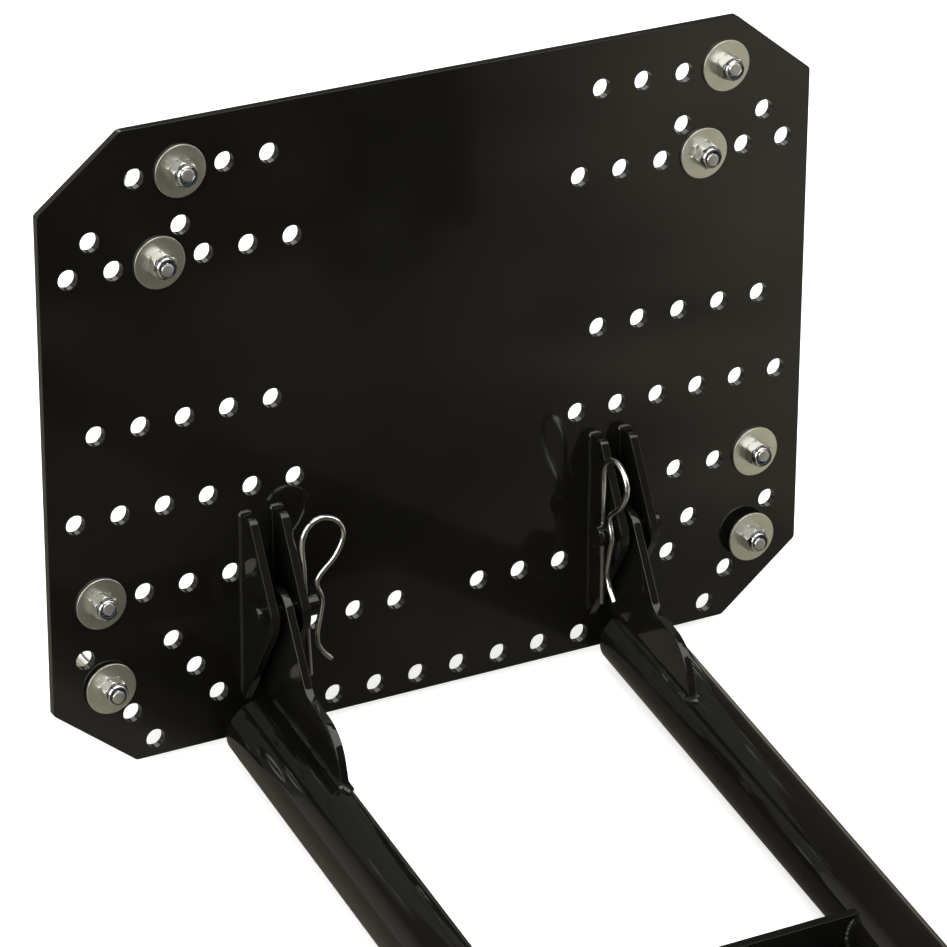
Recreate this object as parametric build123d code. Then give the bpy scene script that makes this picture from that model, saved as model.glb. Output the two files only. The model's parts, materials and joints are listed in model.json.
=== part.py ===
"""ATV snow plow: hole-patterned mount plate, push frame, swivel head and spring-trip blade.

Millimetres.  +X is the vehicle's left-to-right width seen from the blade end, -Y is forward
(towards the blade) and +Z is up.  While the pieces are made, Y = 0 is the hinge pins' axis and
Z = 0 is the floor; the finished plow is then moved along Y so that Y = 0 is the middle of its
length.
"""
from build123d import *
from math import acos, asin, atan2, cos, degrees, hypot, radians, sin
import os

SIDES = (("left", -1), ("right", 1))
FIT = 0.05                      # radial clearance of a turning fit

# Push tubes and the height of the hinge above them
TUBE_R = 19.05
TUBE_WALL = 3.05
TUBE_X = 115.1
TUBE_REAR_Y = -4.8
TUBE_FRONT_Y = -965.0
TUBE_Z = TUBE_R
HINGE_Z = TUBE_Z + 71.0

# Mount plate, measured from its own centre, standing upright
PLATE_W = 457.2
PLATE_H = 355.6
PLATE_T = 4.76
PLATE_CORNER = (47.0, 37.5)
PLATE_CORNER_R = 3.0
PLATE_LEAN = 12.3               # the plate leans back on the tongues' heels
PIN_OFF_PLATE = 21.0
PIN_BELOW_CENTRE = 98.5
HALF_PITCH = 12.7
ROW_PITCH = 47.625
HOLE_R = 5.35
TOP_ROW_Z = 151.1
MIDDLE_ROW_Z = 14.4
LOW_ROW_Z = -120.0
EXTRA_ROW_Z = 121.4
DIAGONAL_Z = -112.0
DIAGONAL_STEP = (1.03, 18.6)

# U-bolts: each leg is (half pitches from the middle, height, distance its nut stands off)
ROD_R = 3.95
UBOLT_REACH = 34.0
WASHER_R = 14.3
WASHER_T = 1.6
NUT_AF = 12.7
NUT_H = 6.4
NUT_COLLAR_H = 2.4
NUT_COLLAR_R = 5.9
INSERT_R = 4.9

# Hinge ears, clevis pins and hairpins
EAR_T = 4.76
EAR_X = (97.2, 115.6)
EAR_TIP_R = 14.0
EAR_TOP_Z = -48.0
EAR_BOTTOM_Z = -157.0
PIN_R = 6.35
PIN_HEAD_R = 8.8
PIN_HEAD_T = 4.6
PIN_INNER_X = 85.6
CLIP_X = 90.9
CLIP_WIRE_R = 1.55
CLIP_HOLE_R = 2.2
CLIP_LOOP_R = 12.2
CLIP_LEG_ABOVE_PIN = 39.5
CLIP_LEG_BELOW_PIN = 42.0
CLIP_TILT = 3.0                 # the left hairpin hangs a little askew

# Tongues
TONGUE_X = 106.0
TONGUE_T = 4.76
TONGUE_HEAD_R = 13.0
TONGUE_HEEL_Y = 9.2
TONGUE_TOE_Y = -86.5

# Crossmembers
ANGLE_LEG = 30.0
ANGLE_T = 4.8
ANGLE_Z = 1.0
REAR_CROSS_Y = -262.3
FRONT_CROSS_Y = -893.0

# Turntable
BED_X = 134.0
BED_Y = (-1010.0, -775.0)
BED_Z = 2 * TUBE_R
BED_T = 6.35
KING_Y = -950.0
KING_R = 12.7
THRUST_T = 1.6
INDEX_R = 110.0
INDEX_ANGLES = (-30, -15, 0, 15, 30)
SWIVEL_Z = BED_Z + BED_T + THRUST_T + 0.05
SWIVEL_T = 6.35
BEAM = 50.0
BEAM_WALL = 3.2
BEAM_X = 280.0
BEAM_Y = -1045.0                # front face
BEAM_Z = SWIVEL_Z + SWIVEL_T

# Lock pin
LOCK_Y = KING_Y + INDEX_R
LOCK_R = 6.35
LOCK_LIFT = 12.0                # how far its spring can push it down into the bed plate
LOCK_TOP = 126.0 + LOCK_LIFT
HOUSING_R = 14.0
HOUSING_BORE = 9.8
HOUSING_H = 44.0
CAP_T = 4.0

# Blade hinge and trip springs
TRIP_Y = -1089.0
TRIP_Z = 105.0
TRIP_X = 150.0
LUG_T = 8.0
LUG_R = 14.0
RIB_T = 6.35
RIB_GAP = 1.0
SPRING_X = 75.0
SPRING_LOW = (-1015.0, 135.0)
SPRING_HIGH = (-1097.0, 340.0)
SPRING_R = 17.0
SPRING_WIRE_R = 2.5
SPRING_RING_R = 11.0
SPRING_EYE_R = 5.5

# Blade
BLADE_W = 1270.0
SKIN_T = 3.0
CURVE_R = 430.0                 # concave front face
CURVE_Z = 110.0
CURVE_Y = -1110.0 - CURVE_R
SKIN_LOW_Z = 20.0
SKIN_TOP_Z = 406.0
OUTER_RIB_X = 420.0
RIB_BACK_Y = -1073.0
RIB_TOP_Z = 360.0
WEAR_T = 9.5
WEAR_Z = (8.0, 80.0)
WEAR_BOLT_R = 5.0
WEAR_BOLT_X = (90.0, 330.0, 560.0)

# Skid shoes
SKID_X = 520.0
SKID_Y = -1070.0
STEM_R = 9.5
DISH_R = 45.0
DISH_H = 12.0
COLLAR_R = 17.0
COLLAR_Z = (50.0, 130.0)
SKID_WASHERS = 6
LINCH_Z = 152.0
LINCH_R = 3.0


def span(x, y, z):
    """A box between the two values given along each axis."""
    return Pos((x[0] + x[1]) / 2, (y[0] + y[1]) / 2, (z[0] + z[1]) / 2) * Box(
        abs(x[1] - x[0]), abs(y[1] - y[0]), abs(z[1] - z[0])
    )


def rod(start, end, radius):
    """A round bar from one point to another."""
    start, end = Vector(*start), Vector(*end)
    axis = Plane(origin=start, z_dir=end - start)
    return axis * Cylinder(radius, (end - start).length, align=(Align.CENTER, Align.CENTER, Align.MIN))


def slab(profile, x, thickness):
    """A plate across X, centred on x, from a flat profile drawn in Y and Z."""
    return extrude(Plane.YZ.offset(x - thickness / 2) * profile, amount=thickness)


def upright(z0, z1, x, y, radius):
    return rod((x, y, z0), (x, y, z1), radius)


def disc_yz(y, z, radius):
    return Pos(y, z) * Circle(radius)


def rect_yz(y, z):
    return Pos((y[0] + y[1]) / 2, (z[0] + z[1]) / 2) * Rectangle(abs(y[1] - y[0]), abs(z[1] - z[0]))


def hull_of(*shapes):
    return make_hull([edge for shape in shapes for edge in shape.edges()])


def near(face, y, z):
    """The corner of a flat profile that lies nearest to a point."""
    return min(face.vertices(), key=lambda corner: hypot(corner.X - y, corner.Y - z))


def tangent_point(y, z, radius, side):
    """Where a line from (y, z) touches a circle about the origin."""
    turn = atan2(z, y) + side * acos(radius / hypot(y, z))
    return (radius * cos(turn), radius * sin(turn))


# ---------------------------------------------------------------- mount plate

ON_PLATE = Pos(0, 0, HINGE_Z) * Rot(-PLATE_LEAN, 0, 0) * Pos(0, PIN_OFF_PLATE, PIN_BELOW_CENTRE)


def row(z, first, count):
    """Holes two half pitches apart, the same on both sides of the middle."""
    return [(side * (first + 2 * i) * HALF_PITCH, z) for side in (-1, 1) for i in range(count)]


def diagonal(first, count):
    step_x, step_z = DIAGONAL_STEP
    return [
        (side * (first - i * step_x) * HALF_PITCH, DIAGONAL_Z - i * step_z)
        for side in (-1, 1)
        for i in range(count)
    ]


PLATE_HOLES = (
    row(TOP_ROW_Z, 7.75, 4)
    + row(TOP_ROW_Z - ROW_PITCH, 6.75, 6)
    + row(EXTRA_ROW_Z, 11.75, 1)
    + row(EXTRA_ROW_Z, 15.75, 1)
    + row(MIDDLE_ROW_Z, 7.75, 5)
    + row(MIDDLE_ROW_Z - ROW_PITCH, 6.75, 6)
    + row(MIDDLE_ROW_Z - 2 * ROW_PITCH, 9.75, 4)
    + row(LOW_ROW_Z, 2, 3)
    + row(LOW_ROW_Z - ROW_PITCH, 1, 4)
    + diagonal(12.5, 3)
    + diagonal(16.5, 4)
)

UBOLTS = {
    "ubolt_top_left": ((-11.75, TOP_ROW_Z, 0.0), (-12.75, TOP_ROW_Z - ROW_PITCH, 0.0)),
    "ubolt_top_right": ((13.75, TOP_ROW_Z, 0.0), (12.75, TOP_ROW_Z - ROW_PITCH, 0.0)),
    "ubolt_low_left": (
        (-15.75, MIDDLE_ROW_Z - 2 * ROW_PITCH, 0.0),
        (DIAGONAL_STEP[0] - 16.5, DIAGONAL_Z - DIAGONAL_STEP[1], 1.4),
    ),
    "ubolt_low_right": (
        (15.75, MIDDLE_ROW_Z - 2 * ROW_PITCH, 0.0),
        (16.5 - DIAGONAL_STEP[0], DIAGONAL_Z - DIAGONAL_STEP[1], 4.5),
    ),
}
STUDS = [leg for legs in UBOLTS.values() for leg in legs]


def mount_plate():
    cut_x, cut_z = PLATE_CORNER
    half_w, half_h = PLATE_W / 2, PLATE_H / 2
    corners = []
    for sx, sz in ((1, 1), (-1, 1), (-1, -1), (1, -1)):
        pair = [(sx * half_w, sz * (half_h - cut_z)), (sx * (half_w - cut_x), sz * half_h)]
        corners += pair if sx == sz else reversed(pair)
    outline = make_face(Polyline(*corners, close=True))
    outline = fillet(outline.vertices(), PLATE_CORNER_R)
    holes = [Pos(x, z) * Circle(HOLE_R) for x, z in PLATE_HOLES]
    return ON_PLATE * extrude(Plane.XZ * (outline - holes), amount=-PLATE_T)


def ubolt(legs):
    """A round-bow U-bolt whose legs come forward through the plate."""
    (u0, z0, off0), (u1, z1, off1) = legs
    x0, x1 = u0 * HALF_PITCH, u1 * HALF_PITCH
    half = hypot(x1 - x0, z1 - z0) / 2
    tip = -(WASHER_T + NUT_H + NUT_COLLAR_H + 0.3)
    path = (
        Line((-half, tip - off0), (-half, UBOLT_REACH))
        + CenterArc((0, UBOLT_REACH), half, 180, -180)
        + Line((half, UBOLT_REACH), (half, tip - off1))
    )
    bar = sweep(Plane(origin=path @ 0, z_dir=path % 0) * Circle(ROD_R), path=path)
    turn = -degrees(atan2(z1 - z0, x1 - x0))
    return ON_PLATE * Pos((x0 + x1) / 2, 0, (z0 + z1) / 2) * Rot(0, turn, 0) * bar


def on_stud(piece, leg, distance):
    """Puts a piece drawn along +Z on a stud, its base `distance` in front of the plate."""
    u, z, _ = leg
    return ON_PLATE * Pos(u * HALF_PITCH, -distance, z) * Rot(90, 0, 0) * piece


def disc(radius, height):
    return Cylinder(radius, height, align=(Align.CENTER, Align.CENTER, Align.MIN))


def plate_washers():
    ring = disc(WASHER_R, WASHER_T) - disc(ROD_R + 0.4, WASHER_T)
    return [on_stud(ring, leg, leg[2]) for leg in STUDS]


def nut_body():
    hexagon = extrude(RegularPolygon(NUT_AF / 2, 6, major_radius=False), amount=NUT_H)
    collar = Pos(0, 0, NUT_H) * disc(NUT_COLLAR_R, NUT_COLLAR_H)
    seat = Pos(0, 0, NUT_H - 0.2) * disc(INSERT_R, NUT_COLLAR_H + 0.2)
    return hexagon + collar - seat - disc(ROD_R + FIT, NUT_H + NUT_COLLAR_H)


def plate_nuts():
    return [on_stud(nut_body(), leg, leg[2] + WASHER_T) for leg in STUDS]


def nut_inserts():
    ring = disc(INSERT_R - 0.02, NUT_COLLAR_H) - disc(ROD_R + FIT, NUT_COLLAR_H)
    return [on_stud(ring, leg, leg[2] + WASHER_T + NUT_H - 0.2) for leg in STUDS]


def ear(x):
    """A hinge ear: a long base on the plate and a rounded tip round the pin."""
    corner = 5.0
    profile = hull_of(
        rect_yz((-1.0, 0.0), (EAR_BOTTOM_Z, EAR_TOP_Z)),
        disc_yz(corner - 12.0, EAR_TOP_Z - corner, corner),
        disc_yz(-PIN_OFF_PLATE, -PIN_BELOW_CENTRE, EAR_TIP_R),
    )
    hole = disc_yz(-PIN_OFF_PLATE, -PIN_BELOW_CENTRE, PIN_R + FIT)
    return ON_PLATE * slab(profile - hole, x, EAR_T)


def clevis_pin(side):
    """A headed pin, head outwards, with a cross hole for its hairpin near the inner end."""
    outer = EAR_X[1] + EAR_T / 2 + 0.1
    shank = rod((side * PIN_INNER_X, 0, 0), (side * outer, 0, 0), PIN_R)
    head = rod((side * outer, 0, 0), (side * (outer + PIN_HEAD_T), 0, 0), PIN_HEAD_R)
    hole = rod((side * CLIP_X, 0, -2 * PIN_R), (side * CLIP_X, 0, 2 * PIN_R), CLIP_HOLE_R)
    return Pos(0, 0, HINGE_Z) * Rot(-PLATE_LEAN, 0, 0) * (shank + head - hole)


def clip_wire():
    """An R-clip in the XY plane: straight leg down -Y through the origin, bent leg at +X."""
    top = CLIP_LEG_ABOVE_PIN
    loop = CLIP_LOOP_R
    leg = Line((0, -CLIP_LEG_BELOW_PIN), (0, top - 3))
    bent = Spline(
        (0, top - 3),
        (loop * 0.36, top + 5.6),
        (loop, top + 8.6),
        (loop * 1.72, top + 4.6),
        (loop * 2.0, top - 4.5),
        (loop * 1.55, top - 15.5),
        (7.4, 12.6),
        (9.6, 0),
        (5.4, -19.5),
        (7.4, -28.5),
        (13.2, -36.0),
        tangents=((0, 1), (0.64, -0.77)),
    )
    path = leg + bent
    return sweep(Plane(origin=path @ 0, z_dir=path % 0) * Circle(CLIP_WIRE_R), path=path)


def hairpin(side):
    """Left: lies flat to the plate, round the pin's end.  Right: round the pin's front."""
    if side < 0:
        stand = Rot(90, 0, 0) * Rot(0, 0, CLIP_TILT)
    else:
        stand = Rot(0, 0, -90) * Rot(90, 0, 0)
    place = Pos(0, 0, HINGE_Z) * Rot(-PLATE_LEAN, 0, 0) * Pos(side * CLIP_X, 0, 0)
    return place * stand * clip_wire()


# ---------------------------------------------------------------- push frame

def push_tube(side):
    x = side * TUBE_X
    outer = rod((x, TUBE_REAR_Y, TUBE_Z), (x, TUBE_FRONT_Y, TUBE_Z), TUBE_R)
    return outer - rod((x, TUBE_REAR_Y, TUBE_Z), (x, TUBE_FRONT_Y, TUBE_Z), TUBE_R - TUBE_WALL)


def tube_space(side):
    """The room a push tube and its line back to the plate take up."""
    x = side * TUBE_X
    return rod((x, 50, TUBE_Z), (x, TUBE_FRONT_Y - 50, TUBE_Z), TUBE_R)


def tube_caps():
    """Domed plastic plugs in the tubes' front ends."""
    caps = []
    for _, side in SIDES:
        x = side * TUBE_X
        plug = rod((x, TUBE_FRONT_Y + 18, TUBE_Z), (x, TUBE_FRONT_Y, TUBE_Z), TUBE_R - TUBE_WALL - 0.1)
        flange = rod((x, TUBE_FRONT_Y, TUBE_Z), (x, TUBE_FRONT_Y - 3.5, TUBE_Z), TUBE_R)
        caps.append(plug + fillet(flange.faces().sort_by(Axis.Y)[0].edges(), 2.0))
    return caps


def tongue(side):
    """The plate that stands on a push tube and reaches up between the ears to the pin."""
    neck, brow = (-41.0, -27.5), (-73.0, -29.0)
    base = -60.0
    outline = make_face(
        Polyline(
            (0, 0),
            tangent_point(*neck, TONGUE_HEAD_R, -1),
            neck,
            brow,
            (TONGUE_TOE_Y, -53.0),
            (TONGUE_TOE_Y, base),
            (TONGUE_HEEL_Y, base),
            (TONGUE_HEEL_Y, -40.0),
            tangent_point(TONGUE_HEEL_Y, -40.0, TONGUE_HEAD_R, 1),
            close=True,
        )
    )
    outline = fillet(near(outline, *neck), 14.0)
    outline = fillet(near(outline, *brow), 26.0)
    outline = outline + Circle(TONGUE_HEAD_R) - Circle(PIN_R + FIT)
    return Pos(0, 0, HINGE_Z) * slab(outline, side * TONGUE_X, TONGUE_T) - tube_space(side)


def crossmember(y):
    """An angle between the tubes: upright leg behind, flat leg forward at the bottom."""
    upright_leg = span((-TUBE_X, TUBE_X), (y, y - ANGLE_T), (ANGLE_Z, ANGLE_Z + ANGLE_LEG))
    flat_leg = span((-TUBE_X, TUBE_X), (y, y - ANGLE_LEG), (ANGLE_Z, ANGLE_Z + ANGLE_T))
    return upright_leg + flat_leg - tube_space(-1) - tube_space(1)


def bed_plate():
    plate = span((-BED_X, BED_X), BED_Y, (BED_Z, BED_Z + BED_T))
    plate = fillet(plate.edges().filter_by(Axis.Z), 25.0)
    plate -= upright(BED_Z, BED_Z + BED_T, 0, KING_Y, KING_R + FIT)
    for angle in INDEX_ANGLES:
        x = INDEX_R * sin(radians(angle))
        y = KING_Y + INDEX_R * cos(radians(angle))
        plate -= upright(BED_Z, BED_Z + BED_T, x, y, LOCK_R + 0.25)
    return plate


def thrust_washer():
    z = BED_Z + BED_T
    return upright(z, z + THRUST_T, 0, KING_Y, 50) - upright(z, z + THRUST_T, 0, KING_Y, KING_R + 0.3)


def kingpin():
    """Hex-headed bolt from below; the swivel head turns on its shank."""
    head_h = 12.0
    head = Pos(0, KING_Y, BED_Z - head_h) * extrude(
        RegularPolygon(19, 6, major_radius=False), amount=head_h
    )
    shank = upright(BED_Z - head_h, SWIVEL_Z + SWIVEL_T + 26, 0, KING_Y, KING_R)
    return head + shank


def kingpin_nut():
    z = SWIVEL_Z + SWIVEL_T + 0.1
    washer = upright(z, z + 3, 0, KING_Y, 25)
    nut = Pos(0, KING_Y, z + 3) * extrude(RegularPolygon(19, 6, major_radius=False), amount=18)
    slots = [
        Pos(0, KING_Y, z + 18.5) * Rot(0, 0, angle) * Box(60, 5, 6) for angle in (0, 60, 120)
    ]
    return washer + (nut - slots) - upright(z, z + 25, 0, KING_Y, KING_R + FIT)


def lift_lug():
    """Upright eye behind the turntable for the winch hook."""
    y, z = -795.0, 93.0
    profile = hull_of(rect_yz((y - 17, y + 17), (BED_Z + BED_T, BED_Z + BED_T + 1)), disc_yz(y, z, 17))
    return slab(profile - disc_yz(y, z, 8.0), 0, 8.0)


# ---------------------------------------------------------------- swivel head

def swivel_plate():
    z = (SWIVEL_Z, SWIVEL_Z + SWIVEL_T)
    outline = make_face(
        Polyline(
            (-32, -822), (-32, -925), (-60, -985), (-230, -1000), (-230, BEAM_Y),
            (230, BEAM_Y), (230, -1000), (60, -985), (32, -925), (32, -822), close=True,
        )
    )
    plate = Pos(0, 0, z[0]) * extrude(outline, amount=SWIVEL_T)
    ends = plate.edges().filter_by(Axis.Z).sort_by(Axis.Y)[-2:]
    plate = fillet(ends, 24.0)
    return plate - upright(*z, 0, KING_Y, KING_R + FIT) - upright(*z, 0, LOCK_Y, LOCK_R + 0.2)


def swivel_beam():
    x = (-BEAM_X, BEAM_X)
    outer = span(x, (BEAM_Y, BEAM_Y + BEAM), (BEAM_Z, BEAM_Z + BEAM))
    outer = fillet(outer.edges().filter_by(Axis.X), 5.0)
    inner = span(
        x, (BEAM_Y + BEAM_WALL, BEAM_Y + BEAM - BEAM_WALL), (BEAM_Z + BEAM_WALL, BEAM_Z + BEAM - BEAM_WALL)
    )
    return outer - inner


def hinge_bracket(side):
    """Two lugs on the beam's front face, with the block that stops the rib between them."""
    profile = hull_of(
        rect_yz((BEAM_Y - 1, BEAM_Y), (BEAM_Z + 8, BEAM_Z + BEAM + 27)), disc_yz(TRIP_Y, TRIP_Z, LUG_R)
    )
    profile -= disc_yz(TRIP_Y, TRIP_Z, PIN_R + FIT)
    shift = RIB_T / 2 + RIB_GAP + LUG_T / 2
    lugs = [slab(profile, side * TRIP_X + offset, LUG_T) for offset in (-shift, shift)]
    half = shift
    block = span(
        (side * TRIP_X - half, side * TRIP_X + half), (BEAM_Y - 5, RIB_BACK_Y + 0.3), (112, 126)
    )
    return lugs[0] + lugs[1] + block


def trip_pin(side):
    inner = side * (TRIP_X - RIB_T / 2 - RIB_GAP - LUG_T - 8)
    outer = side * (TRIP_X + RIB_T / 2 + RIB_GAP + LUG_T + 0.1)
    shank = rod((inner, TRIP_Y, TRIP_Z), (outer, TRIP_Y, TRIP_Z), PIN_R)
    head = rod((outer, TRIP_Y, TRIP_Z), (outer + side * 4, TRIP_Y, TRIP_Z), 9.5)
    x = inner + side * 4
    return shank + head - rod((x, TRIP_Y, TRIP_Z - 10), (x, TRIP_Y, TRIP_Z + 10), 1.8)


def trip_cotters():
    cotters = []
    for _, side in SIDES:
        x = side * (TRIP_X - RIB_T / 2 - RIB_GAP - LUG_T - 4)
        wire = rod((x, TRIP_Y, TRIP_Z - 11), (x, TRIP_Y, TRIP_Z + 9), 1.6)
        eye = Pos(x, TRIP_Y, TRIP_Z + 13) * Rot(0, 90, 0) * Torus(4.0, 1.6)
        cotters.append(wire + eye)
    return cotters


def spring_post(side):
    y, z = SPRING_LOW
    profile = hull_of(rect_yz((y - 22, y + 18), (BEAM_Z + BEAM, BEAM_Z + BEAM + 4)), disc_yz(y, z, 12))
    return slab(profile - disc_yz(y, z, SPRING_EYE_R), side * SPRING_X, 6.35)


def trip_spring(side):
    """Stands in for the coils: a tube the size of the coil with an end ring through each hole."""
    low = Vector(side * SPRING_X, *SPRING_LOW)
    high = Vector(side * SPRING_X, *SPRING_HIGH)
    along = (high - low).normalized()
    length = (high - low).length
    end = 2 * SPRING_RING_R + 4
    frame = Plane(origin=low, x_dir=(1, 0, 0), z_dir=along)
    coil = Pos(0, 0, end) * (disc(SPRING_R, length - 2 * end) - disc(SPRING_R - 6, length - 2 * end))
    solid = coil
    for distance, inward in ((SPRING_RING_R, 1), (length - SPRING_RING_R, -1)):
        ring = Pos(0, 0, distance) * Rot(90, 0, 0) * Torus(SPRING_RING_R, SPRING_WIRE_R)
        cap_z = end if inward > 0 else length - end - 4
        cap = Pos(0, 0, cap_z) * disc(SPRING_R, 4)
        neck_z = sorted((distance + inward * SPRING_RING_R, distance + inward * (SPRING_RING_R + 6)))
        neck = Pos(0, 0, neck_z[0]) * disc(SPRING_WIRE_R, neck_z[1] - neck_z[0])
        solid = solid + ring + cap + neck
    return frame * solid


def lock_housing():
    z = BEAM_Z
    body = upright(z, z + HOUSING_H, 0, LOCK_Y, HOUSING_R)
    bore = upright(z, z + HOUSING_H - CAP_T, 0, LOCK_Y, HOUSING_BORE)
    return body - bore - upright(z, z + HOUSING_H, 0, LOCK_Y, LOCK_R + 0.1)


def lock_pin():
    """Spring-loaded index pin, held up clear of the bed plate: collar under the spring, T handle."""
    shank = upright(BED_Z + 0.3 + LOCK_LIFT, LOCK_TOP, 0, LOCK_Y, LOCK_R)
    collar = upright(BEAM_Z + 3 + LOCK_LIFT, BEAM_Z + 7 + LOCK_LIFT, 0, LOCK_Y, HOUSING_BORE - 0.3)
    bar_z = LOCK_TOP - 7
    handle = rod((-34, LOCK_Y, bar_z), (34, LOCK_Y, bar_z), 4.5)
    return shank + collar + handle


def lock_spring():
    z = (BEAM_Z + 7.1 + LOCK_LIFT, BEAM_Z + HOUSING_H - CAP_T - 0.1)
    return upright(*z, 0, LOCK_Y, HOUSING_BORE - 0.4) - upright(*z, 0, LOCK_Y, LOCK_R + 0.3)


# ---------------------------------------------------------------- blade

def curve_space(radius):
    """Everything in front of a face of the curved skin."""
    half = BLADE_W / 2 + 20
    return rod((-half, CURVE_Y, CURVE_Z), (half, CURVE_Y, CURVE_Z), radius)


BACK_R = CURVE_R + SKIN_T


def curve_angle(z, radius=CURVE_R):
    return degrees(asin((z - CURVE_Z) / radius))


def on_curve(z, radius=CURVE_R):
    """The (y, z) of a face of the skin at a height."""
    return (CURVE_Y + radius * cos(radians(curve_angle(z, radius))), z)


WEAR_LOW = Vector(*on_curve(SKIN_LOW_Z))
WEAR_HIGH = Vector(*on_curve(WEAR_Z[1]))
WEAR_UP = (WEAR_HIGH - WEAR_LOW).normalized()
WEAR_BOLT_AT = WEAR_LOW + WEAR_UP * 30.0
WEAR_TILT = degrees(atan2(WEAR_UP.Y, WEAR_UP.X)) - 90


def on_wear(x):
    """A frame on the wear bar's back face: local Z points forward out of the bar."""
    place = Pos(x, WEAR_BOLT_AT.X, WEAR_BOLT_AT.Y)
    return place * Rot(WEAR_TILT, 0, 0) * Rot(90, 0, 0)


def wear_bolt_places():
    return [on_wear(side * x) for x in WEAR_BOLT_X for side in (-1, 1)]


def bolt_hole(place):
    return place * Pos(0, 0, -20) * disc(WEAR_BOLT_R + 0.2, 40)


def moldboard():
    """Rolled skin with a stiffening lip bent back along its top edge."""
    low, high = curve_angle(SKIN_LOW_Z), curve_angle(SKIN_TOP_Z)
    centre = (CURVE_Y, CURVE_Z)
    inner = CenterArc(centre, CURVE_R, low, high - low)
    outer = CenterArc(centre, BACK_R, low, high - low)
    face = make_face([inner, outer, Line(inner @ 0, outer @ 0), Line(inner @ 1, outer @ 1)])
    top = inner @ 1
    lip = Pos(top.X, top.Y) * Rot(0, 0, high) * Pos(10.5, -SKIN_T / 2) * Rectangle(21, SKIN_T)
    skin = slab(face + lip, 0, BLADE_W)
    for place in wear_bolt_places():
        skin -= bolt_hole(place)
    return skin


def rib(x, hinged):
    """Upright stiffener on the skin's back; the two inner ones carry the hinge eyes."""
    back = RIB_BACK_Y if hinged else RIB_BACK_Y - 6
    low = TRIP_Z if hinged else 88.0
    front = CURVE_Y + CURVE_R - 130
    outline = make_face(
        Polyline((back, RIB_TOP_Z - 40), (back, low), (-1090, 66), (front, 66), (front, RIB_TOP_Z),
                 (back - 25, RIB_TOP_Z), close=True)
    )
    if hinged:
        outline = outline + disc_yz(TRIP_Y, TRIP_Z, LUG_R) - disc_yz(TRIP_Y, TRIP_Z, PIN_R + FIT)
    return slab(outline, x, RIB_T) - curve_space(BACK_R)


def top_brace():
    """Angle along the skin's back, flat leg on the ribs' tops."""
    back_y = -1150.0
    half = OUTER_RIB_X + 60
    z = RIB_TOP_Z + 0.2
    flat_leg = span((-half, half), (back_y - 80, back_y), (z, z + 4))
    upright_leg = span((-half, half), (back_y - 4, back_y), (z, z + 26))
    return flat_leg + upright_leg - curve_space(BACK_R)


def wear_bar():
    below = (SKIN_LOW_Z - WEAR_Z[0]) / WEAR_UP.Y
    height = (WEAR_HIGH - WEAR_LOW).length + below
    centre = WEAR_LOW + WEAR_UP * (height / 2 - below)
    bar = Pos(0, centre.X, centre.Y) * Rot(WEAR_TILT, 0, 0) * Pos(0, -WEAR_T / 2, 0) * Box(
        BLADE_W, WEAR_T, height
    )
    for place in wear_bolt_places():
        bar -= bolt_hole(place)
    return bar


def wear_bolts():
    """Round-headed carriage bolts from the front."""
    bolts = []
    for place in wear_bolt_places():
        shank = Pos(0, 0, -SKIN_T - 15) * disc(WEAR_BOLT_R, SKIN_T + 15 + WEAR_T)
        dome = Pos(0, 0, WEAR_T - 7) * (Sphere(13.0) & Pos(0, 0, 7) * disc(14, 7))
        bolts.append(place * (shank + dome))
    return bolts


def wear_nuts():
    nuts = []
    for place in wear_bolt_places():
        washer = disc(11, 2)
        nut = Pos(0, 0, 2) * extrude(RegularPolygon(8.5, 6, major_radius=False), amount=8.5)
        body = washer + nut - disc(WEAR_BOLT_R + FIT, 12)
        nuts.append(place * Pos(0, 0, -SKIN_T - 1.3) * Rot(180, 0, 0) * body)
    return nuts


def spring_tab(side):
    y, z = SPRING_HIGH
    profile = hull_of(rect_yz((y - 95, y - 50), (z - 28, z + 16)), disc_yz(y, z, 12))
    tab = slab(profile - disc_yz(y, z, SPRING_EYE_R), side * SPRING_X, 6.35)
    return tab - curve_space(BACK_R)


def skid_bracket(side):
    """Guide tube for the shoe's stem on a gusset welded to the skin."""
    x = side * SKID_X
    tube = upright(*COLLAR_Z, x, SKID_Y, COLLAR_R)
    gusset = span((x - 3.2, x + 3.2), (SKID_Y - 80, SKID_Y - COLLAR_R + 2), (COLLAR_Z[0] + 12, COLLAR_Z[1] - 6))
    return tube + (gusset - curve_space(BACK_R)) - upright(*COLLAR_Z, x, SKID_Y, STEM_R + 0.4)


def skid_shoe(side):
    """Dished sole with an upright stem."""
    x = side * SKID_X
    profile = make_face(
        Polyline((0, 0), (DISH_R - 15, 0), (DISH_R - 4, 3.5), (DISH_R, 9), (DISH_R - 4, DISH_H - 1),
                 (STEM_R + 5, DISH_H), (STEM_R, DISH_H), (STEM_R, 172), (STEM_R - 2, 174), (0, 174), close=True)
    )
    shoe = revolve(Plane.XZ * profile, Axis.Z)
    hole = rod((-20, 0, LINCH_Z), (20, 0, LINCH_Z), LINCH_R + 0.2)
    return Pos(x, SKID_Y, 0) * (shoe - hole)


def skid_washers(side):
    """Height-setting washers between the shoe and its bracket."""
    x = side * SKID_X
    each = (COLLAR_Z[0] - DISH_H - 0.1) / SKID_WASHERS
    stack = []
    for i in range(SKID_WASHERS):
        z = DISH_H + i * each
        stack.append(
            upright(z, z + each - 0.1, x, SKID_Y, 16.0) - upright(z, z + each, x, SKID_Y, STEM_R + 0.3)
        )
    return stack


def linch_pin(side):
    x = side * SKID_X
    pin = rod((x - 17, SKID_Y, LINCH_Z), (x + 19, SKID_Y, LINCH_Z), LINCH_R)
    ring = Pos(x + 1, SKID_Y, LINCH_Z) * Torus(18.0, 1.5)
    return pin + ring


# ---------------------------------------------------------------- assembly

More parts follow.
